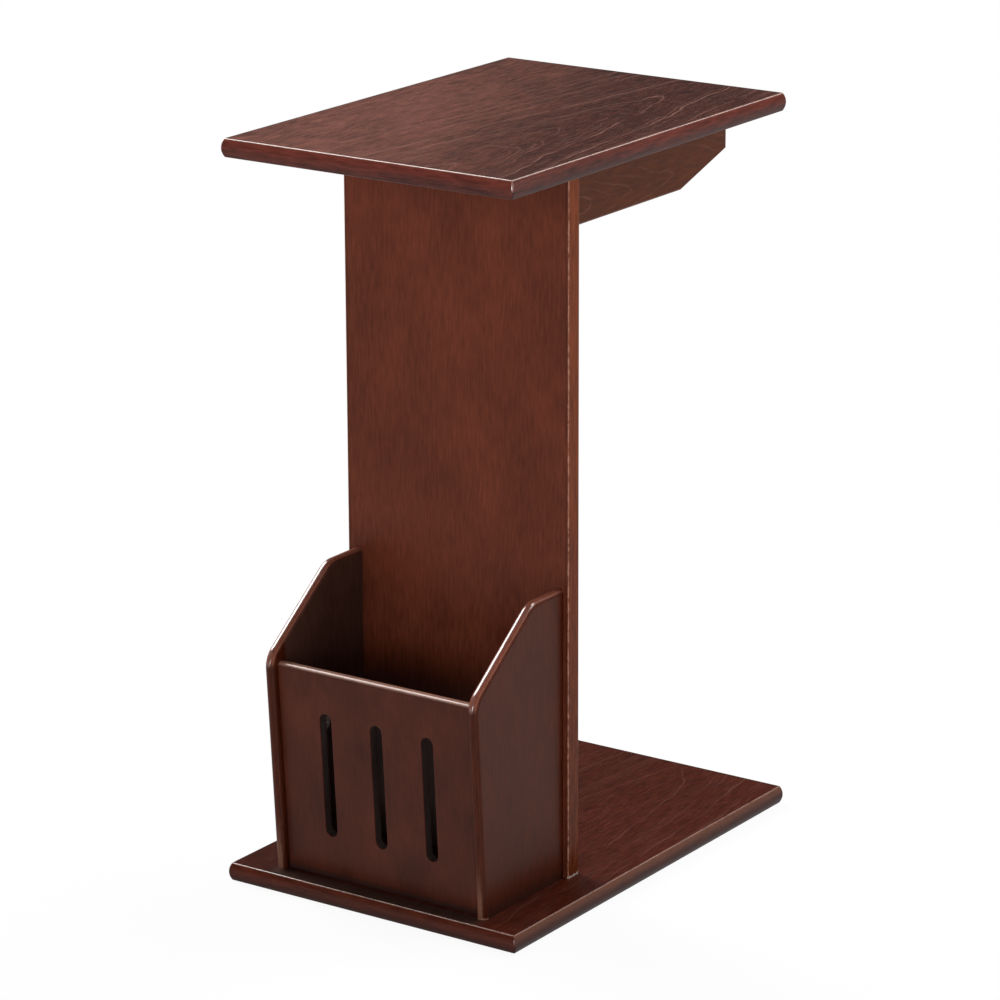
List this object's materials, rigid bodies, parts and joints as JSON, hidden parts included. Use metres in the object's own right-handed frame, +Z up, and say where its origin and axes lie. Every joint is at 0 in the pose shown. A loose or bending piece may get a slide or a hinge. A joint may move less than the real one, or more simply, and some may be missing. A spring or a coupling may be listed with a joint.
{
  "type": "magazine table",
  "caption": "Narrow side table: a flat top and a flat base joined by an upright board, with braces under the top and an open slotted magazine rack at the foot.",
  "frame": {"origin": "middle of the base board's underside, where the table stands on the floor", "axes": "+X to the right along the front edge, +Y from the rack to the back, +Z up"},
  "size_m": [0.28, 0.402, 0.61],
  "materials": {
    "stained_wood": "dark cherry stain under satin lacquer",
    "beech": "bare fluted dowel",
    "zinc_steel": "bright zinc plate",
    "zinc_alloy": "dull die-cast zinc"
  },
  "bodies": {
    "root": {"base_board": "stained_wood", "upright_panel": "stained_wood", "table_top": "stained_wood", "brace_left": "stained_wood", "brace_right": "stained_wood", "rack_left_side": "stained_wood", "rack_right_side": "stained_wood", "rack_front": "stained_wood", "base_bolts": "zinc_steel", "base_barrel_nuts": "zinc_steel", "rack_bolts": "zinc_steel", "rack_barrel_nuts": "zinc_steel", "cam_locks": "zinc_alloy", "cam_bolts": "zinc_steel", "top_dowels": "beech", "base_dowels": "beech", "brace_dowels": "beech", "rack_back_dowels": "beech", "rack_foot_dowels": "beech", "rack_front_dowels": "beech", "rack_foot_screws": "zinc_steel"}
  },
  "joints": []
}
